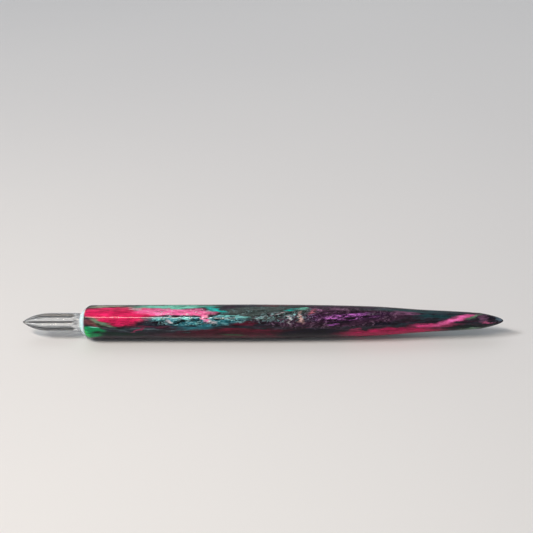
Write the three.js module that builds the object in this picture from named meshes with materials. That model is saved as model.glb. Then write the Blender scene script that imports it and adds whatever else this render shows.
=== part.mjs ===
// Glass dip pen: a fluted glass nib, bonded into a push-fit ferrule that is gripped by two
// rubber rings inside a turned resin handle.
//
// Millimetres. The pen lies along X on the plane z = 0, with its nib towards -X and its tail
// towards +X. The origin is the middle of the pen's length, on the surface that it lies on.
//
// Every piece is turned about one axis, so each is drawn as an outline of (radius, station),
// where a station is a distance along the axis from the point of the nib.

import * as THREE from 'three';

// Overall
const penLength = 180;
const barrelRadius = 6.35;
const facets = 24;

// Nib: an ogive point, flutes along the head, and a plain shank behind them
const headRadius = 3.65;
const shankRadius = 3.3;
const nibLength = 46;
const nibTipRadius = 0.35;
const ogiveEnd = 10.8;
const shankEndRounding = 0.8;
const flutes = 8;
const columnsPerFlute = 6;
const fluteDepthShare = 0.2;
const fluteStart = 0.3;
const fluteFullDepth = 2.2;
const fluteFadeStart = 20;
const fluteFadeEnd = 21.6;
const grooveElevation = THREE.MathUtils.degToRad(33);

// Ferrule: a conical nose and flange in front, a grooved barrel behind
const ferruleFront = 23;
const ferruleNoseRadius = 3.62;
const flangeRadius = 5.3;
const flangeEdge = 24.65;
const flangeBack = 24.8;
const ferruleBore = 3.35;
const ferruleRadius = 4.5;
const ferruleEnd = 44.5;
const ferruleEndChamfer = 0.4;
const grooveRadius = 3.9;
const grooveWidth = 0.9;
const grooveCentres = [30, 40.5];

// Grip rings
const ringSectionRadius = 0.32;
const ringCentreRadius = 4.25;
const ringSectionSides = 10;

// Handle: a rounded front edge behind the flange, a straight barrel, a long taper and a tail
const seatStation = 25.12;
const frontRounding = 1.3;
const frontRoundingStart = 72;
const frontRoundingStretch = 1.7;
const frontRoundingSteps = 5;
const boreRadius = 5.05;
const boreEnd = 50;
const drillPoint = 53;
const tailNoseLength = 8.2;
const tailNoseRadius = 2.87;
const tailRoundness = 1.8;
const taperSteps = 26;
const tailSteps = 8;

// The taper's radius at distances from the tail's tip
const taperKnots = [
  [92, barrelRadius],
  [77, 6.18],
  [62, 5.92],
  [48, 5.47],
  [40.4, 5.01],
  [33, 4.42],
  [29, 4.13],
  [22, 3.76],
  [15, 3.37],
  [tailNoseLength, tailNoseRadius],
];

// Pieces seated in the handle's bore
const linerRadius = 5;
const linerBore = 4.6;
const linerFront = seatStation;
const linerEnd = 49.5;
const washerFront = 24.86;
const washerBack = 25.06;
const washerBore = 4.68;
const washerRadius = 5.25;
const cushionFront = 46.3;
const cushionEnd = 48.8;
const cushionRadius = 4.4;
const cushionDish = 0.35;

// A ring of flat facets drawn with its corners this far out has flats that touch the radius.
// Bores are drawn so, and so is the barrel, which lies on one of its flats.
function overFlats(radius) {
  return radius / Math.cos(Math.PI / facets);
}

function point(radius, station) {
  return new THREE.Vector2(radius, station);
}

// Angles are in degrees, from the outward direction towards the tail.
function arc(centre, radius, start, end, steps) {
  const points = [];
  for (let step = 0; step <= steps; step += 1) {
    const angle = THREE.MathUtils.degToRad(start + (end - start) * step / steps);
    points.push(point(centre.x + radius * Math.cos(angle), centre.y + radius * Math.sin(angle)));
  }
  return points;
}

// An outline that runs up the outside and down the inside faces outwards when it is turned.
function turned(outline, sides = facets) {
  return new THREE.LatheGeometry(outline, sides, Math.PI / sides);
}

function material(colour, roughness, metalness = 0, opacity = 1) {
  return new THREE.MeshStandardMaterial({
    color: colour,
    roughness,
    metalness,
    opacity,
    transparent: opacity < 1,
  });
}

const clearGlass = material(0xe6efee, 0.03, 0, 0.35);
const whiteAcetal = material(0xe4f4f6, 0.25);
const softSilicone = material(0xb9c2c4, 0.5);
const blackRubber = material(0x1c1c1e, 0.6);
const brass = material(0xc9a24b, 0.3, 1);
const marbledResin = material(0x8c2350, 0.08);

function named(name, geometry, surface) {
  const mesh = new THREE.Mesh(geometry, surface);
  mesh.name = name;
  return mesh;
}

// The head is a little thicker than the shank, and narrows to it where the flutes run out.
function nibRadius(station) {
  const narrowing = THREE.MathUtils.smoothstep(station, fluteFadeStart, fluteFadeEnd);
  return THREE.MathUtils.lerp(headRadius, shankRadius, narrowing);
}

// The nib's point is an ogive that meets the head without a corner, blunted by a small ball.
function nibOutline() {
  const sharpLength = ogiveEnd + nibTipRadius * 0.8;
  const ogiveRadius = (headRadius ** 2 + sharpLength ** 2) / (2 * headRadius);
  const axisOffset = ogiveRadius - headRadius;
  const ballAngle = Math.atan2(axisOffset, sharpLength);
  const ballSteps = 3;
  const ogiveSteps = 11;
  const outline = [];
  for (let step = 0; step <= ballSteps; step += 1) {
    const angle = ballAngle * step / ballSteps;
    outline.push(point(nibTipRadius * Math.sin(angle), nibTipRadius * (1 - Math.cos(angle))));
  }
  const ballEdge = nibTipRadius * (1 - Math.cos(ballAngle));
  for (let step = 1; step <= ogiveSteps; step += 1) {
    const station = ballEdge + (ogiveEnd - ballEdge) * step / ogiveSteps;
    const rise = Math.sqrt(ogiveRadius ** 2 - (ogiveEnd - station) ** 2);
    outline.push(point(rise - axisOffset, station));
  }
  for (const station of [14, 17, fluteFadeStart, 20.5, 21, fluteFadeEnd]) {
    outline.push(point(nibRadius(station), station));
  }
  const endCentre = point(shankRadius - shankEndRounding, nibLength - shankEndRounding);
  outline.push(...arc(endCentre, shankEndRounding, 0, 90, 4));
  outline.push(point(0, nibLength));
  return outline;
}

// How much of its full depth a flute has at a station
function fluteShare(station) {
  const opening = THREE.MathUtils.smoothstep(station, fluteStart, fluteFullDepth);
  const closing = THREE.MathUtils.smoothstep(station, fluteFadeStart, fluteFadeEnd);
  return opening * (1 - closing);
}

// The flutes are sharp grooves between half-round ridges, so the ridges follow a rectified sine
// of the elevation, which is measured round the axis from -Y upwards. One column of points runs
// down each groove.
function glassNib() {
  const columns = flutes * columnsPerFlute;
  const geometry = new THREE.LatheGeometry(nibOutline(), columns, Math.PI / 2 - grooveElevation);
  const position = geometry.attributes.position;
  for (let index = 0; index < position.count; index += 1) {
    const across = position.getX(index);
    const station = position.getY(index);
    const up = position.getZ(index);
    const elevation = Math.atan2(up, across);
    const ridge = Math.abs(Math.sin((elevation - grooveElevation) * flutes / 2));
    const kept = 1 - fluteDepthShare * fluteShare(station) * (1 - ridge);
    position.setXYZ(index, across * kept, station, up * kept);
  }
  return named('glass_nib', geometry, clearGlass);
}

function nibFerrule() {
  const outline = [
    point(overFlats(ferruleBore), ferruleFront),
    point(ferruleNoseRadius, ferruleFront),
    point(flangeRadius, flangeEdge),
    point(flangeRadius, flangeBack),
    point(ferruleRadius, flangeBack),
  ];
  for (const centre of grooveCentres) {
    outline.push(point(ferruleRadius, centre - grooveWidth / 2));
    outline.push(point(grooveRadius, centre - grooveWidth / 2));
    outline.push(point(grooveRadius, centre + grooveWidth / 2));
    outline.push(point(ferruleRadius, centre + grooveWidth / 2));
  }
  outline.push(point(ferruleRadius, ferruleEnd - ferruleEndChamfer));
  outline.push(point(ferruleRadius - ferruleEndChamfer, ferruleEnd));
  outline.push(point(overFlats(ferruleBore), ferruleEnd));
  outline.push(outline[0].clone());
  return named('nib_ferrule', turned(outline), whiteAcetal);
}

function gripRing(name, station) {
  const centre = point(ringCentreRadius, station);
  const outline = arc(centre, ringSectionRadius, 0, 360, ringSectionSides);
  outline[outline.length - 1].copy(outline[0]);
  return named(name, turned(outline), blackRubber);
}

function linerTube() {
  const outline = [
    point(linerRadius, linerFront),
    point(linerRadius, linerEnd),
    point(overFlats(linerBore), linerEnd),
    point(overFlats(linerBore), linerFront),
    point(linerRadius, linerFront),
  ];
  return named('liner_tube', turned(outline), brass);
}

function seatWasher() {
  const outline = [
    point(washerRadius, washerFront),
    point(washerRadius, washerBack),
    point(overFlats(washerBore), washerBack),
    point(overFlats(washerBore), washerFront),
    point(washerRadius, washerFront),
  ];
  return named('seat_washer', turned(outline), softSilicone);
}

// The cushion is dished in front, where the rounded end of the glass beds into it.
function cushionPad() {
  const outline = [
    point(0, cushionFront + cushionDish),
    point(cushionRadius / 2, cushionFront + cushionDish / 2),
    point(cushionRadius - cushionDish, cushionFront),
    point(cushionRadius, cushionFront + cushionDish),
    point(cushionRadius, cushionEnd),
    point(0, cushionEnd),
  ];
  return named('cushion_pad', turned(outline), softSilicone);
}

function taperCurve() {
  const knots = taperKnots.map(([fromTail, radius]) => point(radius, penLength - fromTail));
  return new THREE.SplineCurve(knots);
}

// The tail's radius grows with a root of the distance from its tip, which rounds the tip off.
function tailOutline() {
  const outline = [];
  for (let step = 1; step <= tailSteps; step += 1) {
    const share = 1 - step / tailSteps;
    outline.push(point(tailNoseRadius * share, penLength - tailNoseLength * share ** tailRoundness));
  }
  return outline;
}

// The front edge is rounded off over a longer distance along the barrel than across it.
function frontRoundingOutline() {
  const depth = frontRounding * Math.sin(THREE.MathUtils.degToRad(frontRoundingStart));
  const centre = point(barrelRadius - frontRounding, seatStation + depth);
  const round = arc(centre, frontRounding, -frontRoundingStart, 0, frontRoundingSteps);
  return round.map(({ x, y }) => point(x, seatStation + (y - seatStation) * frontRoundingStretch));
}

function handleBody() {
  const bore = [
    point(0, drillPoint),
    point(boreRadius, boreEnd),
    point(boreRadius, seatStation),
  ];
  const outside = [
    ...frontRoundingOutline(),
    ...taperCurve().getPoints(taperSteps),
    ...tailOutline(),
  ];
  const outline = [...bore, ...outside].map(({ x, y }) => point(overFlats(x), y));
  return named('handle_body', turned(outline), marbledResin);
}

const pen = new THREE.Group();
pen.position.set(-penLength / 2, 0, barrelRadius);
pen.rotation.z = -Math.PI / 2;
pen.add(handleBody());
pen.add(linerTube());
pen.add(cushionPad());
pen.add(seatWasher());
pen.add(gripRing('front_grip_ring', grooveCentres[0]));
pen.add(gripRing('rear_grip_ring', grooveCentres[1]));
pen.add(nibFerrule());
pen.add(glassNib());

export default pen;
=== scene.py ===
"""The looks of the glass dip pen: a fluted glass nib, its ferrule and rings, and a marbled handle.

Outlines and the patterns of materials are in millimetres: stations along the pen from the nib's
point, and radii from its axis. Everything else is in metres, in the frame's own axes: the pen lies
along X, nib towards -X, on the plane z = 0.
"""

import math

import bmesh
import bpy
from mathutils import Matrix, Vector


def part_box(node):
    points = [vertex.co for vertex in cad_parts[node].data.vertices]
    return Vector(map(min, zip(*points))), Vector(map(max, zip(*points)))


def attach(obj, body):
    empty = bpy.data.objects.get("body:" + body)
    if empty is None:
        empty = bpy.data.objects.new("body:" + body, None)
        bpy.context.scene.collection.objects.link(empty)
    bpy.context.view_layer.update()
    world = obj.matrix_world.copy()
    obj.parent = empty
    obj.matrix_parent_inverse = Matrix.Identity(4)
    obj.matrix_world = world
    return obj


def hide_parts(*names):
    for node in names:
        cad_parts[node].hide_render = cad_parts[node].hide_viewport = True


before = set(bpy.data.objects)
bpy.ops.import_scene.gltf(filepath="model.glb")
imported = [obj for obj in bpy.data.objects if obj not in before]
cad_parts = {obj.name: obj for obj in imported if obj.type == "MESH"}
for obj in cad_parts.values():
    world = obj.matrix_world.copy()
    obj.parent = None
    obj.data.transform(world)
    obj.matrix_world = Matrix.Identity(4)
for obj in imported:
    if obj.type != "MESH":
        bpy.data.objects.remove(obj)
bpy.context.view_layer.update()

MM = 0.001

# The flat sides of the CAD's turned nodes
CAD_FACETS = 24


# ---------------------------------------------------------------- where things are

HANDLE_LOW, HANDLE_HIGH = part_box("handle_body")
TIP_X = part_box("glass_nib")[0].x
AXIS_Z = (HANDLE_LOW.z + HANDLE_HIGH.z) / 2
PEN_LENGTH = (HANDLE_HIGH.x - TIP_X) / MM
BARREL_RADIUS = (HANDLE_HIGH.z - HANDLE_LOW.z) / 2 / MM


def stations(node):
    """A node's front and back stations."""
    low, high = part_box(node)
    return (low.x - TIP_X) / MM, (high.x - TIP_X) / MM


def turned_radius(node):
    """A turned node's radius. The corners of its facets lie on it, and its box meets their flats."""
    low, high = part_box(node)
    return (high.z - low.z) / 2 / MM / math.cos(math.pi / CAD_FACETS)


# ---------------------------------------------------------------- outlines and turned meshes

# The steps in a corner's rounding, and the most that it takes of each side beside the corner
CORNER_STEPS = 5
CORNER_REACH = 0.49

# Points nearer to the axis than this become poles
POLE_RADIUS = 1e-6

# Edges that bend more than this are shaded as sharp
SHARP_ANGLE = math.radians(35)


def arc(station, radius, size, start, end, steps):
    """Points round a centre. Angles are in degrees, from the tail's direction towards outwards."""
    points = []
    for step in range(steps + 1):
        angle = math.radians(start + (end - start) * step / steps)
        points.append((station + size * math.cos(angle), radius + size * math.sin(angle)))
    return points


def eased(corners):
    """An outline whose corners (station, radius, rounding) are rounded off where rounding isn't 0."""
    points = []
    for index, (station, radius, rounding) in enumerate(corners):
        here = Vector((station, radius))
        if rounding == 0:
            points.append(tuple(here))
            continue
        before = Vector(corners[index - 1][:2]) - here
        after = Vector(corners[(index + 1) % len(corners)][:2]) - here
        reach = rounding / math.tan(before.angle(after) / 2)
        start = here + before.normalized() * min(reach, before.length * CORNER_REACH)
        end = here + after.normalized() * min(reach, after.length * CORNER_REACH)
        for step in range(CORNER_STEPS + 1):
            share = step / CORNER_STEPS
            first, second, third = (1 - share) ** 2, 2 * share * (1 - share), share**2
            points.append(tuple(start * first + here * second + end * third))
    return points


def turned(name, outline, columns, closed=False, start=0.0, shape=None):
    """A piece turned about the pen's axis from (station, radius) points.

    A point on the axis becomes a pole. shape(station, elevation) scales the radius, where the
    elevation is measured round the axis from -Y upwards, and the first column is at start.
    """
    build = bmesh.new()
    rings = []
    for station, radius in outline:
        x = TIP_X + station * MM
        if radius < POLE_RADIUS:
            rings.append([build.verts.new((x, 0, AXIS_Z))])
            continue
        ring = []
        for column in range(columns):
            elevation = start + 2 * math.pi * column / columns
            size = radius * MM * (shape(station, elevation) if shape else 1)
            y, z = -size * math.cos(elevation), AXIS_Z + size * math.sin(elevation)
            ring.append(build.verts.new((x, y, z)))
        rings.append(ring)
    pairs = list(zip(rings, rings[1:]))
    if closed:
        pairs.append((rings[-1], rings[0]))
    for first, second in pairs:
        for column in range(columns):
            after = (column + 1) % columns
            corners = [first[column % len(first)], first[after % len(first)]]
            corners += [second[after % len(second)], second[column % len(second)]]
            build.faces.new(dict.fromkeys(corners))
    bmesh.ops.recalc_face_normals(build, faces=build.faces)
    mesh = bpy.data.meshes.new(name)
    build.to_mesh(mesh)
    build.free()
    mesh.shade_smooth()
    mesh.set_sharp_from_angle(angle=SHARP_ANGLE)
    return placed(name, mesh)


def placed(name, data):
    """A new object in the scene, from its mesh, light or camera data."""
    item = bpy.data.objects.new(name, data)
    bpy.context.scene.collection.objects.link(item)
    return item


def smooth(value, low, high):
    """0 up to low and 1 from high, smooth in between."""
    share = min(max((value - low) / (high - low), 0), 1)
    return share * share * (3 - 2 * share)


# ---------------------------------------------------------------- material building


def wired(tree, kind, inputs, **settings):
    """A new node with its settings made and its inputs, by name or number, linked or set."""
    node = tree.nodes.new(kind)
    for name, value in settings.items():
        setattr(node, name, value)
    for key, value in inputs.items():
        if isinstance(value, Value):
            tree.links.new(value.socket, node.inputs[key])
        else:
            node.inputs[key].default_value = value
    return node


class Value:
    """A number, vector or colour that varies over a surface: one socket of a node tree."""

    def __init__(self, tree, socket):
        self.tree = tree
        self.socket = socket

    def math(self, operation, *others, kind="ShaderNodeMath"):
        inputs = dict(enumerate((self, *others)))
        node = wired(self.tree, kind, inputs, operation=operation)
        return Value(self.tree, node.outputs[0])

    def __add__(self, other):
        return self.math("ADD", other)

    def __sub__(self, other):
        return self.math("SUBTRACT", other)

    def __mul__(self, other):
        return self.math("MULTIPLY", other)

    def __truediv__(self, other):
        return self.math("DIVIDE", other)

    def step(self, low, high):
        """0 at low and 1 at high, smooth in between. low may be above high."""
        ends = {"From Min": min(low, high), "From Max": max(low, high)}
        ends["To Min"] = 1.0 if low > high else 0.0
        ends["To Max"] = 0.0 if low > high else 1.0
        inputs = {"Value": self, **ends}
        node = wired(self.tree, "ShaderNodeMapRange", inputs, interpolation_type="SMOOTHSTEP")
        return Value(self.tree, node.outputs["Result"])


class Surface:
    """A material under construction, with its Principled shader."""

    # Where the Mix node keeps its sockets for colours
    MIX_SHARE, MIX_FIRST, MIX_SECOND, MIX_RESULT = 0, 6, 7, 2

    def __init__(self, name):
        self.material = bpy.data.materials.new(name)
        self.material.use_nodes = True
        self.tree = self.material.node_tree
        self.shader = self.tree.nodes["Principled BSDF"]

    def set(self, **values):
        """Sets the shader's sockets, named in lower case with underscores."""
        by_name = {socket.name.lower().replace(" ", "_"): socket for socket in self.shader.inputs}
        for name, value in values.items():
            if isinstance(value, Value):
                self.tree.links.new(value.socket, by_name[name])
            else:
                by_name[name].default_value = value
        return self.material

    def place(self):
        """The surface's own place in the frame's axes, as three values in millimetres."""
        place = Value(self.tree, wired(self.tree, "ShaderNodeTexCoord", {}).outputs["Object"])
        scaled = place.math("DIVIDE", (MM, MM, MM), kind="ShaderNodeVectorMath")
        split = wired(self.tree, "ShaderNodeSeparateXYZ", {0: scaled})
        return [Value(self.tree, split.outputs[axis]) for axis in "XYZ"]

    def vector(self, x, y, z):
        node = wired(self.tree, "ShaderNodeCombineXYZ", {0: x, 1: y, 2: z})
        return Value(self.tree, node.outputs[0])

    def noise(self, x, y, z, detail=2.0, roughness=0.5):
        """Noise about zero, mostly from -0.25 to 0.25, with features about 1 across."""
        inputs = {"Vector": self.vector(x, y, z), "Scale": 1.0}
        inputs |= {"Detail": detail, "Roughness": roughness}
        node = wired(self.tree, "ShaderNodeTexNoise", inputs)
        return Value(self.tree, node.outputs["Fac"]) - 0.5

    def cloud(self, rate, detail=3.0):
        """Noise that is the same in all directions, with about so many features a millimetre."""
        x, y, z = self.place()
        return self.noise(x * rate, y * rate, z * rate, detail)

    def mix(self, share, first, second, blend="MIX"):
        """first where share is 0 and second where it is 1."""
        inputs = {self.MIX_SHARE: share, self.MIX_FIRST: first, self.MIX_SECOND: second}
        node = wired(self.tree, "ShaderNodeMix", inputs, data_type="RGBA", blend_type=blend)
        return Value(self.tree, node.outputs[self.MIX_RESULT])

    def bump(self, height, distance):
        """A normal from a height that is multiplied by a distance in millimetres."""
        inputs = {"Height": height, "Strength": 1.0, "Distance": distance * MM}
        return Value(self.tree, wired(self.tree, "ShaderNodeBump", inputs).outputs["Normal"])


def rgb(red, green, blue):
    """A colour from its 8-bit display values, as the shader's linear numbers with alpha."""
    linear = []
    for share in (red / 255, green / 255, blue / 255):
        linear.append(share / 12.92 if share <= 0.04045 else ((share + 0.055) / 1.055) ** 2.4)
    return (*linear, 1.0)


# ---------------------------------------------------------------- plain materials

# How far light travels inside the white and the silicone pieces
SCATTER_DEPTH = 1 * MM


def clear_glass():
    """Clear on the ridges, with painted shade along the grooves, which are also rougher."""
    surface = Surface("clear_glass")
    x, y, z = surface.place()
    drawn = surface.noise(x * 0.08, y * 0.7, z * 0.7)
    smudge = surface.cloud(0.3, detail=4)
    elevation = (z - AXIS_Z / MM).math("ARCTAN2", y * -1.0)
    ridge = ((elevation - GROOVE_ELEVATION) * (FLUTES / 2)).math("SINE").math("ABSOLUTE")
    # painted shade: where the flutes are full, the grooves are coloured near-black below
    groove = ridge.step(0.55, 0.2) * (x - TIP_X / MM).step(FLUTE_FADE_END, FLUTE_FADE_START)
    clear = surface.mix(smudge.step(-0.2, 0.2), rgb(222, 226, 229), rgb(240, 242, 243))
    return surface.set(
        base_color=surface.mix(groove, clear, rgb(22, 23, 26)),
        roughness=smudge.step(0.05, 0.3) * 0.04 + ridge.step(0.8, 0.2) * 0.2 + 0.14,
        transmission_weight=0.93,
        ior=1.52,
        normal=surface.bump(drawn, 0.002),
    )


def white_acetal():
    surface = Surface("white_acetal")
    x = surface.place()[0]
    cloud = surface.cloud(0.9)
    lathe_marks = surface.noise(x * 14, 0.0, 0.0)
    return surface.set(
        base_color=surface.mix(cloud.step(-0.25, 0.25), rgb(206, 240, 250), rgb(224, 250, 255)),
        roughness=cloud.step(-0.3, 0.3) * 0.1 + 0.16,
        subsurface_weight=0.15,
        subsurface_scale=SCATTER_DEPTH,
        coat_weight=0.4,
        coat_roughness=0.08,
        normal=surface.bump(lathe_marks, 0.01),
    )


def ring_rubber():
    surface = Surface("ring_rubber")
    grain = surface.cloud(9)
    return surface.set(
        base_color=surface.mix(grain.step(-0.2, 0.3), rgb(20, 20, 21), rgb(42, 42, 44)),
        roughness=grain.step(-0.3, 0.3) * 0.2 + 0.45,
        normal=surface.bump(grain, 0.02),
    )


def silicone():
    surface = Surface("silicone")
    cloud = surface.cloud(1.2)
    return surface.set(
        base_color=surface.mix(cloud.step(-0.3, 0.3), rgb(186, 198, 202), rgb(216, 225, 227)),
        roughness=cloud.step(-0.3, 0.3) * 0.15 + 0.38,
        subsurface_weight=0.4,
        subsurface_scale=SCATTER_DEPTH,
        normal=surface.bump(cloud, 0.02),
    )


def brass():
    surface = Surface("brass")
    x, y, z = surface.place()
    drawn = surface.noise(x * 0.06, y * 4, z * 4, detail=3)
    tarnish = surface.cloud(0.4, detail=4)
    bright = surface.mix(drawn.step(-0.3, 0.3), rgb(200, 158, 82), rgb(226, 188, 108))
    return surface.set(
        base_color=surface.mix(tarnish.step(0.05, 0.3) * 0.6, bright, rgb(150, 108, 62)),
        metallic=1.0,
        roughness=tarnish.step(-0.2, 0.3) * 0.25 + 0.2,
        normal=surface.bump(drawn, 0.02),
    )


# ---------------------------------------------------------------- the marbled resin

# The side of the barrel that the marbling is laid out for, as an elevation from -Y upwards
MARBLE_ELEVATION = math.radians(33.2)

# The marbling shears along the pen between these depths, measured from the axis towards the near
# side, so that the far side shows it from this much further along
NEAR_DEPTH, FAR_DEPTH = 1.0, -3.5
FAR_SHIFT = 45.0

# The round ends of streaks are drawn out along the pen by this much
STREAK_STRETCH = 2.8

PIGMENTS = {
    "plum": rgb(40, 14, 33),
    "maroon": rgb(68, 8, 32),
    "claret": rgb(84, 12, 36),
    "ink": rgb(13, 6, 24),
    "slate": rgb(34, 42, 50),
    "dusk": rgb(92, 36, 66),
    "steel": rgb(74, 90, 96),
    "ash": rgb(92, 96, 102),
    "bottle": rgb(5, 36, 31),
    "olive": rgb(50, 70, 48),
    "lichen": rgb(66, 77, 75),
    "sage": rgb(100, 134, 110),
    "chalk": rgb(150, 156, 138),
    "umber": rgb(106, 62, 66),
    "teal": rgb(40, 118, 132),
    "deep_teal": rgb(30, 64, 70),
    "aqua": rgb(122, 210, 204),
    "mint": rgb(124, 222, 196),
    "turquoise": rgb(0, 206, 198),
    "emerald": rgb(0, 140, 82),
    "fern": rgb(30, 196, 100),
    "crimson": rgb(208, 30, 88),
    "rose": rgb(248, 112, 168),
    "wine": rgb(168, 20, 78),
    "raspberry": rgb(204, 62, 120),
    "mulberry": rgb(148, 50, 88),
    "pink": rgb(252, 108, 176),
    "orchid_pink": rgb(170, 82, 122),
    "mauve": rgb(112, 74, 104),
    "violet": rgb(54, 24, 58),
    "velvet": rgb(60, 34, 56),
    "orchid": rgb(214, 118, 226),
    "coral": rgb(232, 126, 146),
    "blush": rgb(222, 174, 168),
    "pearl": rgb(206, 200, 208),
    "mist": rgb(96, 116, 132),
}

# Each streak's pigment, its start and end as (station, height), and its half-width. A later streak
# covers an earlier one. Heights are measured across the side that the marbling is laid out for.
STREAKS = [
    # the dark ground, and the grey-green of the top. The dark maroon, ink and olive streaks low on the
    # near side are partly the resin's own dark colour and partly painted shade of the pen's underside.
    ("velvet", (99, 1.4), (136, 2.0), 4.2),
    ("maroon", (54, -4.8), (120, -4.4), 2.0),
    ("claret", (64, -3.0), (98, -3.2), 0.8),
    ("claret", (76, -0.9), (91, -0.7), 1.0),
    ("ink", (98, -4.7), (120, -4.0), 1.9),
    ("ink", (128, -1.2), (144, -0.9), 0.6),
    ("olive", (76, -4.9), (86, -5.0), 0.5),
    ("slate", (35, -2.9), (56, -3.0), 1.2),
    ("umber", (37, -1.75), (60, -1.5), 0.22),
    ("steel", (32, -2.2), (43, -3.4), 0.35),
    ("steel", (40, -2.3), (56, -2.9), 0.4),
    ("steel", (54, -3.0), (70, -3.4), 0.3),
    ("dusk", (38, -1.9), (62, -1.6), 0.3),
    ("bottle", (30, -4.2), (48, -4.9), 1.2),
    ("lichen", (80, 3.6), (108, 3.9), 2.3),
    ("lichen", (84, 1.2), (102, 1.0), 0.9),
    # the teal clouds
    ("teal", (50, 1.0), (63, 0.4), 1.4),
    ("teal", (59, -0.6), (82, 0.6), 2.3),
    ("teal", (62, -2.4), (73, -2.0), 1.1),
    ("ink", (50.5, -0.9), (59, -0.6), 0.8),
    ("ink", (61, 0.3), (68, 0.4), 0.5),
    ("ink", (71.5, -0.6), (76, -1.6), 0.5),
    ("ink", (61, -1.5), (70, -1.9), 0.55),
    ("ink", (74, 1.0), (81, 0.4), 0.45),
    ("aqua", (65, -0.5), (72, -0.9), 0.45),
    ("aqua", (51, 1.2), (56, 0.9), 0.4),
    ("aqua", (59, 1.2), (67, 1.0), 0.5),
    ("ink", (53, 0.2), (58, -0.4), 0.55),
    ("aqua", (75, 2.3), (87, 1.5), 0.6),
    ("pearl", (72.5, 0.6), (76, -0.9), 0.6),
    ("pearl", (56.5, 0.9), (58.5, -0.7), 0.4),
    # the pink band and its hook
    ("crimson", (25.0, 3.4), (51, 3.3), 2.4),
    ("crimson", (30.5, 1.1), (46, 0.7), 1.7),
    ("crimson", (36, -0.9), (44, -0.7), 1.2),
    ("rose", (44, 3.7), (72.5, 3.3), 1.5),
    ("rose", (57, 3.5), (72.5, 3.2), 1.3),
    ("rose", (70.4, 3.4), (72.6, -0.4), 0.65),
    ("mulberry", (43.5, -3.8), (49.5, -2.0), 0.3),
    # the front's green and grey
    ("umber", (25.4, 0.3), (35, -1.7), 1.35),
    ("ink", (33, -1.9), (42, -2.6), 0.5),
    ("sage", (25.8, 2.0), (38, -2.5), 0.62),
    ("olive", (27.5, 0.2), (36, -2.4), 0.35),
    ("slate", (30, -1.4), (38, -2.7), 0.35),
    ("emerald", (24.4, -3.9), (27.8, -3.9), 2.5),
    ("bottle", (28.6, -3.9), (30.6, -3.8), 0.7),
    ("bottle", (32.0, -4.2), (39, -4.6), 1.3),
    ("fern", (25.0, -3.0), (26.6, -6.1), 0.6),
    ("mint", (27.2, -1.9), (30.5, -2.2), 0.3),
    # the top edge. The pale chalk streak along its front is partly a painted reflection along the top.
    ("chalk", (25.6, 5.7), (41, 5.7), 0.5),
    ("lichen", (31, 5.3), (41, 5.25), 0.22),
    ("mint", (40, 5.5), (76, 5.5), 1.05),
    ("pearl", (41.5, 5.0), (46.5, 4.2), 0.35),
    ("turquoise", (71.5, 5.0), (78, 3.4), 0.75),
    ("umber", (88, 5.95), (107, 5.85), 0.3),
    # turquoise, pearl, blush and coral curls
    ("turquoise", (101, 4.3), (103.4, 4.5), 0.5),
    ("mint", (105, 4.8), (108, 4.7), 0.45),
    ("pearl", (100.2, 3.3), (103.4, -1.6), 0.36),
    ("blush", (105.2, 4.0), (107.6, -1.2), 0.46),
    ("pearl", (96.5, 2.0), (100, 3.6), 0.26),
    ("coral", (111, 5.0), (110, 2.2), 0.3),
    # violet and mauve
    ("mauve", (110, 4.6), (113, 4.3), 0.6),
    ("mauve", (116.5, 4.7), (124, 4.5), 0.7),
    ("violet", (112, 1.0), (137, 1.9), 1.9),
    ("plum", (104, -1.4), (126, -0.9), 0.6),
    ("orchid", (114, 0.7), (123, 1.5), 0.42),
    ("orchid", (120, 1.9), (130.5, 2.9), 0.55),
    ("orchid", (116, -1.5), (121, -1.0), 0.26),
    ("ink", (110, -1.0), (128, 0.1), 0.35),
    # the tail's teal, violet and mauve
    ("deep_teal", (124, 4.6), (170, 2.6), 0.9),
    ("ash", (128, 2.9), (140, 2.6), 0.22),
    ("deep_teal", (146, 2.1), (166, 1.0), 1.2),
    ("violet", (133, 3.0), (141, 2.6), 0.8),
    ("mauve", (139.5, 2.9), (147.5, 2.5), 0.95),
    ("ash", (133, 4.4), (142, 4.2), 0.15),
    # the wine flank and the pink ribbon that climbs out of it
    ("wine", (121.5, -4.6), (158, -3.5), 1.85),
    ("ink", (128, -2.7), (131.5, -3.3), 0.45),
    ("mulberry", (124, -3.0), (128, -2.6), 0.4),
    ("mulberry", (144, -2.0), (158, -1.7), 0.6),
    ("mulberry", (152, -2.3), (165, -1.2), 0.7),
    ("raspberry", (146, -1.5), (157, -1.75), 0.7),
    ("pink", (155.0, -1.9), (168.8, 2.3), 1.05),
    ("bottle", (160, -2.8), (172, -1.8), 0.8),
    ("sage", (166.4, 0.5), (171.2, 2.7), 0.42),
    ("sage", (163.5, -3.2), (176, -2.0), 0.35),
    ("mauve", (171.6, 2.2), (173, -0.4), 0.75),
    ("ink", (173.5, 1.6), (176.5, 0.4), 0.45),
    ("orchid_pink", (171.5, -0.5), (175.5, -0.8), 0.4),
    ("mist", (178, 0.9), (180.4, 0.0), 1.1),
    # streaks that only the far side shows
    ("crimson", (182, 3.0), (206, 2.4), 1.6),
    ("teal", (184, -2.6), (214, -1.6), 1.8),
    ("emerald", (204, 3.4), (222, 4.0), 1.4),
    ("violet", (198, 0.2), (226, -0.6), 1.0),
    ("mint", (188, 0.8), (212, 1.7), 0.33),
    ("turquoise", (131, 6.2), (138, 5.9), 0.4),
    ("rose", (140, 5.9), (166, 5.1), 0.8),
    ("mint", (152, 6.2), (174, 6.0), 0.5),
    ("crimson", (150, -5.4), (172, -5.6), 0.8),
]

# Where the pearl breaks up into clots and flecks, in the form of a streak without its pigment
GLITTER = [
    ((52, 0.5), (82, 0.5), 2.5),
    ((92, 1.6), (112, 1.6), 2.0),
    ((110, 0.5), (132, 2.0), 1.6),
    ((184, -2.0), (214, -1.2), 1.6),
]

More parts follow.
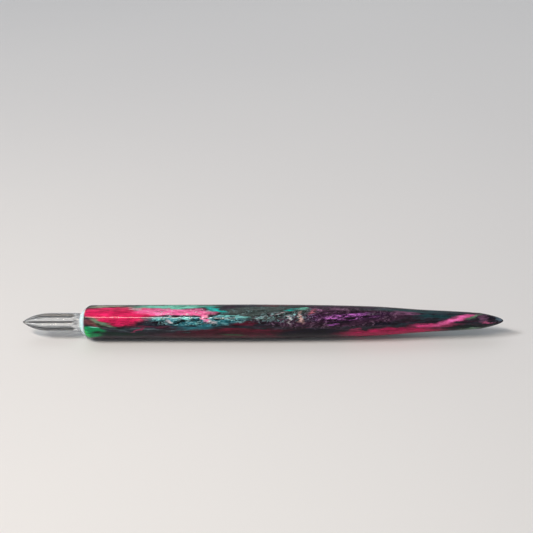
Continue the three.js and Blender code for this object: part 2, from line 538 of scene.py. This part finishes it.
# Where it has flecks only, where it ripples across the streaks, and where it curls
SPARKLE = ((46, 3.3), (76, 3.6), 1.5)
RIPPLE = ((78, 2.6), (114, 2.2), 3.6)
CURLS = ((98, 0.9), (132, 1.6), 4.4)

# The pearl's colours and a pale tone, screened and laid over the marbling: partly the resin's own pale
# flecks and streaks, partly painted glints and sheen
PEARL_AND_GLINT_TEAL = rgb(158, 220, 226)
PEARL_AND_GLINT_VIOLET = rgb(206, 116, 216)
PEARL_AND_GLINT_MAUVE = rgb(186, 146, 178)
PALE_STREAK_AND_PAINTED_SHEEN = rgb(255, 236, 246)
SHADE = rgb(30, 16, 30)

# The pearl is violet in the middle of the pen and teal elsewhere. Each pair of stations is where it
# is still teal and where it is fully violet.
VIOLET_FRONT = 106, 114
VIOLET_BACK = 150, 140


class Marbling:
    """The resin's flow: coordinates bent by swirls, curls and threads, and streaks laid in them."""

    # How long and how wide the bends are
    SWIRL_SIZE = 11, 4
    CURL_SIZE = 2.4, 1.1
    THREAD_SIZE = 8, 0.55

    # How strongly they bend the flow along the pen and across it. Threads bend it along the pen as
    # curls do.
    SWIRL_BEND = 5, 1.2
    CURL_BEND = 4, 1.3
    THREAD_BEND = 2

    # The share of the curls and threads that the front has, and the stations between which the
    # rest comes in
    FRONT_SHARE = 0.35
    FRONT_STATIONS = 28, 46

    # A streak's edge is this wide, or this share of a narrow streak's half-width
    EDGE = 0.8
    EDGE_SHARE = 0.75

    def __init__(self, surface):
        self.surface = surface
        x, y, z = surface.place()
        z = z - AXIS_Z / MM
        sine, cosine = math.sin(MARBLE_ELEVATION), math.cos(MARBLE_ELEVATION)
        height = y * sine + z * cosine
        depth = z * sine - y * cosine
        station = x - TIP_X / MM + depth.step(NEAR_DEPTH, FAR_DEPTH) * FAR_SHIFT

        def bends(size, seed, **grain):
            long, wide = size
            return surface.noise(x / long + seed, y / wide, z / wide, **grain)

        swirls = [bends(self.SWIRL_SIZE, seed) for seed in (0, 40)]
        curls = [bends(self.CURL_SIZE, seed, detail=5.0, roughness=0.65) for seed in (0, 40)]
        threads = bends(self.THREAD_SIZE, 0, detail=3.0, roughness=0.6)
        strength = station.step(*self.FRONT_STATIONS) * (1 - self.FRONT_SHARE) + self.FRONT_SHARE
        along = (curls[0] + threads) * strength * self.CURL_BEND[0]
        across = (curls[1] * self.CURL_BEND[1] + threads * self.THREAD_BEND) * strength
        self.station = station + swirls[0] * self.SWIRL_BEND[0] + along
        self.height = height + swirls[1] * self.SWIRL_BEND[1] + across
        self.depth = depth
        self.flow = surface.vector(self.station / STREAK_STRETCH, self.height, 0.0)

    def streak(self, start, end, width):
        """1 inside a long oval streak and 0 outside it."""
        tree = self.surface.tree
        first = Vector((start[0] / STREAK_STRETCH, start[1], 0))
        last = Vector((end[0] / STREAK_STRETCH, end[1], 0))
        run = last - first
        inputs = {
            "Vector": self.flow,
            "Location": (first + last) / 2,
            "Rotation": (0, 0, math.atan2(run.y, run.x)),
            "Scale": (run.length / 2 + width, width, 1),
        }
        oval = wired(tree, "ShaderNodeMapping", inputs, vector_type="TEXTURE")
        inputs = {"Vector": Value(tree, oval.outputs["Vector"])}
        fade = wired(tree, "ShaderNodeTexGradient", inputs, gradient_type="SPHERICAL")
        return Value(tree, fade.outputs["Fac"]).step(0, min(self.EDGE / width, self.EDGE_SHARE))

    def silk(self, along, across, seed):
        """Noise that follows the flow, with features about so many millimetres long and wide."""
        place = (self.station / along + seed, self.height / across, self.depth / across)
        return self.surface.noise(*place, detail=6.0, roughness=0.68)


def marbled_resin():
    """Streaks of pigment over a dark ground, darkened and lightened by several sizes of pearly grain.
    The lightening is partly the pearl's own pale flecks and streaks and partly painted glints and
    sheen.
    """
    surface = Surface("marbled_resin")
    marbling = Marbling(surface)
    silk = marbling.silk(along=4.5, across=0.8, seed=0)
    clots = marbling.silk(along=2.6, across=1.0, seed=20)
    flecks = marbling.silk(along=1.3, across=0.6, seed=90)
    ripples = marbling.silk(along=0.45, across=2.5, seed=50)
    hair = marbling.silk(along=7.0, across=0.6, seed=60)

    colour = surface.mix(silk.step(-0.25, 0.25), PIGMENTS["plum"], PIGMENTS["slate"])
    colour = surface.mix(hair.step(0.03, 0.2) * 0.7, colour, PIGMENTS["dusk"])
    colour = surface.mix(hair.step(-0.03, -0.2) * 0.7, colour, PIGMENTS["deep_teal"])
    for pigment, *shape in STREAKS:
        colour = surface.mix(marbling.streak(*shape), colour, PIGMENTS[pigment])

    glitter = marbling.streak(*GLITTER[0])
    for shape in GLITTER[1:]:
        glitter = glitter.math("MAXIMUM", marbling.streak(*shape))
    sparkle = glitter.math("MAXIMUM", marbling.streak(*SPARKLE))
    rippling = marbling.streak(*RIPPLE)
    curls = marbling.silk(along=0.9, across=1.7, seed=35)
    curling = marbling.streak(*CURLS)
    violet = marbling.station.step(*VIOLET_FRONT) * marbling.station.step(*VIOLET_BACK)
    pearl = surface.mix(violet, PEARL_AND_GLINT_TEAL, PEARL_AND_GLINT_VIOLET)
    # partly painted sheen: where the silk is high, the colour is lightened towards a pale pink
    colour = surface.mix(silk.step(-0.02, 0.22), colour, PALE_STREAK_AND_PAINTED_SHEEN, "OVERLAY")
    colour = surface.mix(silk.step(0.05, -0.25) * 0.85, colour, SHADE, "MULTIPLY")
    colour = surface.mix(ripples.step(0.02, -0.2) * rippling * 0.7, colour, SHADE, "MULTIPLY")
    # The pearl screened in below, between the darker veins, is partly the pearl's own pale flecks and
    # partly painted glints
    colour = surface.mix(ripples.step(0.04, 0.24) * rippling * 0.5, colour, pearl, "SCREEN")
    colour = surface.mix(curls.step(0.0, -0.12) * curling * 0.8, colour, SHADE, "MULTIPLY")
    colour = surface.mix(curls.step(0.03, 0.16) * curling * 0.3, colour, PEARL_AND_GLINT_MAUVE, "SCREEN")
    colour = surface.mix(clots.step(0.02, -0.08) * glitter * 0.95, colour, SHADE, "MULTIPLY")
    colour = surface.mix(clots.step(0.05, 0.18) * glitter * 0.4, colour, pearl, "SCREEN")
    colour = surface.mix(flecks.step(0.05, 0.13) * sparkle * 0.9, colour, pearl, "SCREEN")
    return surface.set(
        base_color=colour,
        metallic=glitter * 0.25 + 0.2,
        roughness=silk.step(-0.3, 0.3) * 0.15 + 0.35,
        specular_ior_level=0.05,
        normal=surface.bump(silk + flecks * 0.4, 0.12),
        coat_weight=0.48,
        coat_roughness=0.02,
        coat_ior=1.42,
    )


# ---------------------------------------------------------------- the pen

# Columns of points round the handle, the ferrule and the small pieces
HANDLE_COLUMNS, FERRULE_COLUMNS, SMALL_COLUMNS = 144, 128, 96

GRIP_RINGS = "front_grip_ring", "rear_grip_ring"


def finished(piece, material, body, node):
    """Gives a piece its material and slot, has it stand for a CAD node, and joins it to a body."""
    piece.data.materials.append(material)
    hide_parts(node)
    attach(piece, body)


HEAD_RADIUS = 3.65
SHANK_RADIUS = 3.3
SHANK_END_ROUNDING = 0.8
SHANK_END_STEPS = 8
NIB_TIP_RADIUS = 0.35
NIB_TIP_STEPS = 6
OGIVE_END = 10.8
OGIVE_STEPS = 60
FLUTES = 8
COLUMNS_PER_FLUTE = 24
FLUTE_DEPTH_SHARE = 0.2
FLUTE_START, FLUTE_FULL_DEPTH = 0.3, 2.4
FLUTE_FADE_START, FLUTE_FADE_END = 19.6, 21.6
FLUTE_FADE_STEPS = 24
GROOVE_ELEVATION = math.radians(33)

# The ogive's own sharp point is this share of the tip's radius in front of the rounded tip
OGIVE_OVERHANG = 0.8

# Where the head, behind the ogive, has rings of points
HEAD_STATIONS = range(12, 20)


def flute_scale(station, elevation):
    """What the flutes leave of the radius. A wheel cuts them, so each narrows as it runs out."""
    cut = smooth(station, FLUTE_START, FLUTE_FULL_DEPTH)
    cut *= 1 - smooth(station, FLUTE_FADE_START, FLUTE_FADE_END)
    groove = 1 - abs(math.sin((elevation - GROOVE_ELEVATION) * FLUTES / 2))
    return 1 - FLUTE_DEPTH_SHARE * max(0, groove - (1 - cut))


def nib_radius(station):
    """The head is a little thicker than the shank, and narrows to it where the flutes run out."""
    narrowing = smooth(station, FLUTE_FADE_START, FLUTE_FADE_END)
    return HEAD_RADIUS + (SHANK_RADIUS - HEAD_RADIUS) * narrowing


def nib_outline():
    """A small ball, an ogive that meets the head without a corner, the head and the shank."""
    sharp_length = OGIVE_END + NIB_TIP_RADIUS * OGIVE_OVERHANG
    ogive_radius = (HEAD_RADIUS**2 + sharp_length**2) / (2 * HEAD_RADIUS)
    offset = ogive_radius - HEAD_RADIUS
    ball = math.degrees(math.atan2(offset, sharp_length))
    points = arc(NIB_TIP_RADIUS, 0, NIB_TIP_RADIUS, 180, 180 - ball, NIB_TIP_STEPS)
    points[0] = (0, 0)
    edge = points[-1][0]
    for step in range(1, OGIVE_STEPS + 1):
        station = edge + (OGIVE_END - edge) * step / OGIVE_STEPS
        points.append((station, math.sqrt(ogive_radius**2 - (OGIVE_END - station) ** 2) - offset))
    points += [(station, nib_radius(station)) for station in HEAD_STATIONS]
    for step in range(FLUTE_FADE_STEPS + 1):
        station = FLUTE_FADE_START + (FLUTE_FADE_END - FLUTE_FADE_START) * step / FLUTE_FADE_STEPS
        points.append((station, nib_radius(station)))
    end = stations("glass_nib")[1]
    centre = (end - SHANK_END_ROUNDING, SHANK_RADIUS - SHANK_END_ROUNDING)
    points += arc(*centre, SHANK_END_ROUNDING, 90, 0, SHANK_END_STEPS)
    points.append((end, 0))
    return points


def glass_nib():
    outline, columns = nib_outline(), FLUTES * COLUMNS_PER_FLUTE
    piece = turned("glass_nib_fluted", outline, columns, start=GROOVE_ELEVATION, shape=flute_scale)
    finished(piece, clear_glass(), "nib_unit", "glass_nib")


FERRULE_BORE = 3.35
FERRULE_NOSE_RADIUS = 3.62
FERRULE_RADIUS = 4.5
FLANGE_EDGE_WIDTH = 0.15
FLANGE_BACK = 24.8
GROOVE_RADIUS = 3.9
GROOVE_WIDTH = 0.9
RING_SECTION_RADIUS = 0.32
RING_SECTION_STEPS = 24


def ring_centre(node):
    """The station of a grip ring's middle."""
    front, end = stations(node)
    return (front + end) / 2


def nib_ferrule():
    front, end = stations("nib_ferrule")
    flange = turned_radius("nib_ferrule")
    corners = [
        (front, FERRULE_BORE, 0),
        (front, FERRULE_NOSE_RADIUS, 0.04),
        (FLANGE_BACK - FLANGE_EDGE_WIDTH, flange, 0.1),
        (FLANGE_BACK, flange, 0.06),
        (FLANGE_BACK, FERRULE_RADIUS, 0.1),
    ]
    for node in GRIP_RINGS:
        centre = ring_centre(node)
        near, far = centre - GROOVE_WIDTH / 2, centre + GROOVE_WIDTH / 2
        corners += [(near, FERRULE_RADIUS, 0.06), (near, GROOVE_RADIUS, 0.08)]
        corners += [(far, GROOVE_RADIUS, 0.08), (far, FERRULE_RADIUS, 0.06)]
    corners += [(end, FERRULE_RADIUS, 0.4), (end, FERRULE_BORE, 0.1)]
    piece = turned("nib_ferrule_turned", eased(corners), FERRULE_COLUMNS, closed=True)
    finished(piece, white_acetal(), "nib_unit", "nib_ferrule")


def grip_ring(node, material):
    radius = turned_radius(node) - RING_SECTION_RADIUS
    outline = arc(ring_centre(node), radius, RING_SECTION_RADIUS, 0, 360, RING_SECTION_STEPS)[:-1]
    piece = turned(node + "_moulded", outline, SMALL_COLUMNS, closed=True)
    finished(piece, material, "grip_rings", node)


LINER_BORE = 4.61
LINER_EDGE = 0.08
WASHER_BORE = 4.68
WASHER_EDGE = 0.05


def sleeve(name, node, bore, rounding, material):
    """A tube or washer that is fixed to the handle."""
    front, end = stations(node)
    outer = turned_radius(node)
    corners = [(front, outer), (end, outer), (end, bore), (front, bore)]
    outline = eased([(*corner, rounding) for corner in corners])
    piece = turned(name, outline, SMALL_COLUMNS, closed=True)
    finished(piece, material, "handle", node)


CUSHION_DISH = 0.35


def cushion_pad(material):
    front, end = stations("cushion_pad")
    radius = turned_radius("cushion_pad")
    corners = [
        (front + CUSHION_DISH, 0, 0),
        (front + CUSHION_DISH / 2, radius / 2, 0.5),
        (front, radius - CUSHION_DISH, 0.15),
        (front + CUSHION_DISH, radius, 0.15),
        (end, radius, 0.3),
        (end, 0, 0),
    ]
    piece = turned("cushion_pad_moulded", eased(corners), SMALL_COLUMNS)
    finished(piece, material, "handle", "cushion_pad")


BORE_RADIUS = 5.05
BORE_END = 50
DRILL_POINT = 53
FRONT_ROUNDING = 1.3
FRONT_ROUNDING_START = 72
FRONT_ROUNDING_STRETCH = 1.7
FRONT_ROUNDING_STEPS = 16
TAPER_STEPS = 8
TAIL_NOSE_LENGTH = 8.2
TAIL_ROUNDNESS = 1.8
TAIL_STEPS = 24

# The straight barrel's first ring of points, and how far apart they are
BARREL_FRONT = 30
BARREL_SPACING = 4

# The taper's radius at distances from the tail's tip
TAPER = [
    (92, BARREL_RADIUS),
    (77, 6.18),
    (62, 5.92),
    (48, 5.47),
    (40.4, 5.01),
    (33, 4.42),
    (29, 4.13),
    (22, 3.76),
    (15, 3.37),
    (TAIL_NOSE_LENGTH, 2.87),
]


def smooth_curve(knots, steps):
    """A Catmull-Rom curve through the knots, with this many steps to each stretch."""
    knots = [Vector(knot) for knot in knots]
    points = []
    for before, start, end, after in zip([knots[0], *knots], knots, knots[1:], [*knots[2:], knots[-1]]):
        for step in range(steps):
            t = step / steps
            bend = (end - before) * t + (2 * before - 5 * start + 4 * end - after) * t**2
            bend += (3 * start - before - 3 * end + after) * t**3
            points.append(start + bend / 2)
    return [*points, knots[-1]]


def handle_outline():
    """The bore, a stretched rounding, the straight barrel, the taper and the rounded tail."""
    seat = stations("handle_body")[0]
    points = [(DRILL_POINT, 0), (BORE_END, BORE_RADIUS), (seat, BORE_RADIUS)]
    depth = FRONT_ROUNDING * math.sin(math.radians(FRONT_ROUNDING_START))
    centre = (seat + depth, BARREL_RADIUS - FRONT_ROUNDING)
    start = 90 + FRONT_ROUNDING_START
    for station, radius in arc(*centre, FRONT_ROUNDING, start, 90, FRONT_ROUNDING_STEPS):
        points.append((seat + (station - seat) * FRONT_ROUNDING_STRETCH, radius))
    barrel_end = int(PEN_LENGTH - TAPER[0][0])
    points += [(station, BARREL_RADIUS) for station in range(BARREL_FRONT, barrel_end, BARREL_SPACING)]
    taper = smooth_curve(TAPER, TAPER_STEPS)
    points += [(PEN_LENGTH - from_tail, radius) for from_tail, radius in taper]
    for step in range(1, TAIL_STEPS + 1):
        share = 1 - step / TAIL_STEPS
        points.append((PEN_LENGTH - TAIL_NOSE_LENGTH * share**TAIL_ROUNDNESS, TAPER[-1][1] * share))
    return points


def handle_body():
    piece = turned("handle_turned", handle_outline(), HANDLE_COLUMNS)
    finished(piece, marbled_resin(), "handle", "handle_body")


# ---------------------------------------------------------------- floor, light and camera

# How far the floor reaches each way, and the size of its faint clouds in millimetres
FLOOR_REACH = 8.0
FLOOR_CLOUD = 600


def stage_floor():
    mesh = bpy.data.meshes.new("floor")
    corners = [(-1, -1), (1, -1), (1, 1), (-1, 1)]
    corners = [(x * FLOOR_REACH, y * FLOOR_REACH, 0) for x, y in corners]
    mesh.from_pydata(corners, [], [(0, 1, 2, 3)])
    floor = placed("floor", mesh)
    surface = Surface("pale_floor")
    x, y, z = surface.place()
    cloud = surface.noise(x / FLOOR_CLOUD, y / FLOOR_CLOUD, z)
    base = surface.mix(cloud.step(-0.4, 0.4), rgb(222, 222, 224), rgb(232, 232, 232))
    mesh.materials.append(surface.set(base_color=base, roughness=0.6))


def lamp(name, kind, power, facing):
    """A light turned to shine in a direction. It is kept out of what the glass shows through it."""
    data = bpy.data.lights.new(name, kind)
    data.energy = power
    light = placed(name, data)
    light.rotation_euler = Vector(facing).to_track_quat("-Z", "Y").to_euler()
    light.visible_transmission = False
    return light


def softbox(name, place, target, size, power, colour):
    """An area light at a place, facing a target."""
    light = lamp(name, "AREA", power, Vector(target) - Vector(place))
    light.location = place
    light.data.shape = "RECTANGLE"
    light.data.size, light.data.size_y = size
    light.data.color = colour


CENTRE = 0, 0, 0
COOL_LIGHT = 0.96, 0.98, 1
WARM_LIGHT = 1, 0.88, 0.76

# A rise is 0 at the horizon and 1 straight up. The first of each pair is where the walls, or the
# glow on them, fade out, and the second is where they are full.
WALL_RISE = 0.55, 0.05
GLOW_RISE = 0.0, 0.2
CEILING_STRENGTH = 0.25
WALL_STRENGTH = 0.08
GLOW_STRENGTH = 0.17
ROOM_COLOUR = 0.95, 0.97, 1, 1


def room():
    """Pale walls that glow a little above the floor's horizon, and a darker ceiling."""
    world = bpy.data.worlds.new("studio")
    world.use_nodes = True
    tree = world.node_tree
    place = wired(tree, "ShaderNodeTexCoord", {})
    split = wired(tree, "ShaderNodeSeparateXYZ", {0: Value(tree, place.outputs["Generated"])})
    rise = Value(tree, split.outputs["Z"])
    walls = rise.step(*WALL_RISE)
    glow = walls * rise.step(*GLOW_RISE)
    strength = walls * WALL_STRENGTH + glow * GLOW_STRENGTH + CEILING_STRENGTH
    background = tree.nodes["Background"]
    background.inputs["Color"].default_value = ROOM_COLOUR
    tree.links.new(strength.socket, background.inputs["Strength"])
    bpy.context.scene.world = world


def studio():
    """The room, a narrow warm strip, two softboxes, and a soft sun from the nib's end."""
    room()
    softbox("strip", (-0.2, -0.198, 0.446), (-0.05, 0, 0), (0.33, 0.035), 1.3, WARM_LIGHT)
    softbox("back", (-0.25, 0.6, 0.8), CENTRE, (1.4, 0.5), 1.5, COOL_LIGHT)
    window = lamp("window", "SUN", 1.15, facing=(0.75, 0.15, -0.65))
    window.data.angle = math.radians(14)
    softbox("side", (0.55, -0.65, 0.75), CENTRE, (0.9, 0.8), 0.5, COOL_LIGHT)


CAMERA_PLACE = 0.034625, -0.303348, 0.206021
CAMERA_YAW = math.radians(5.696)
CAMERA_PITCH = math.radians(30.0)
CAMERA_ROLL = math.radians(-3.3)
CAMERA_LENS = 65.92


def camera():
    """The camera, turned by its roll, then tilted down by its pitch, then turned by its yaw."""
    data = bpy.data.cameras.new("camera")
    data.sensor_width = 36
    data.lens = CAMERA_LENS
    data.clip_start = 0.01
    data.clip_end = 20
    view = placed("camera", data)
    turn = Matrix.Rotation(CAMERA_YAW, 4, "Z") @ Matrix.Rotation(math.pi / 2 - CAMERA_PITCH, 4, "X")
    view.matrix_world = Matrix.Translation(CAMERA_PLACE) @ turn @ Matrix.Rotation(CAMERA_ROLL, 4, "Z")
    bpy.context.scene.camera = view


rubber = ring_rubber()
soft = silicone()
glass_nib()
nib_ferrule()
for ring in GRIP_RINGS:
    grip_ring(ring, rubber)
sleeve("liner_tube_drawn", "liner_tube", LINER_BORE, LINER_EDGE, brass())
sleeve("seat_washer_moulded", "seat_washer", WASHER_BORE, WASHER_EDGE, soft)
cushion_pad(soft)
handle_body()
stage_floor()
studio()
camera()
bpy.context.scene.view_settings.view_transform = "Standard"
